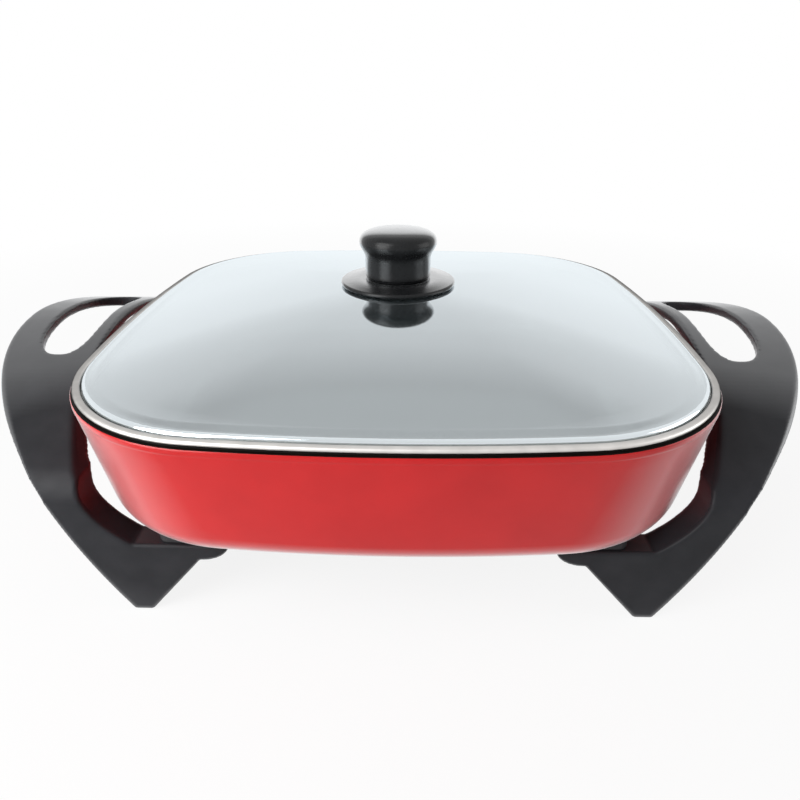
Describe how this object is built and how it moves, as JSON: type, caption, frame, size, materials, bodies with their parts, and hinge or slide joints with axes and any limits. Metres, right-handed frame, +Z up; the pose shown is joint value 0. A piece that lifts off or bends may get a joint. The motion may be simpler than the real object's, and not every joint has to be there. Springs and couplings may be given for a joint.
{
  "type": "electric hot pot",
  "caption": "Square electric hot pot: red pan, low glass lid with a black knob, black side handles that run down into legs, and a heater inlet under the pan.",
  "frame": {"origin": "on the table under the middle of the pan, between the feet", "axes": "+Z up, +X to the right towards the heater inlet, -Y towards the front"},
  "size_m": [0.444, 0.3224, 0.1658],
  "materials": {
    "red_enamel": "glossy enamel",
    "heater_steel": "heat darkened",
    "zinc_plate": "zinc plated",
    "pin_metal": "plain",
    "ceramic": "unglazed",
    "sleeve_metal": "turned",
    "black_moulding": "satin",
    "lid_glass": "tempered, clear",
    "polished_steel": "polished",
    "knob_black": "glossy",
    "gasket_rubber": "matt"
  },
  "bodies": {
    "pot": {"pan": "red_enamel", "heating_element": "heater_steel", "element_clamps": "zinc_plate", "clamp_screws": "zinc_plate", "terminal_pin_front": "pin_metal", "terminal_pin_rear": "pin_metal", "end_seals": "ceramic", "probe_sleeve": "sleeve_metal", "inlet_guard": "black_moulding", "guard_screws": "zinc_plate", "earth_strip": "pin_metal", "earth_screw": "pin_metal", "left_handle": "black_moulding", "right_handle": "black_moulding", "handle_screws": "zinc_plate", "handle_washers": "zinc_plate"},
    "lid": {"lid_glass": "lid_glass", "lid_rim": "polished_steel", "lid_knob": "knob_black", "knob_flange": "knob_black", "knob_insert": "pin_metal", "knob_screw": "polished_steel", "screw_washer": "polished_steel", "upper_gasket": "gasket_rubber", "lower_gasket": "gasket_rubber"}
  },
  "joints": [
    {"name": "lid_lift", "type": "slide", "parent": "pot", "child": "lid", "axis": [0, 0, 1], "range_m": [0, 0.15]}
  ]
}
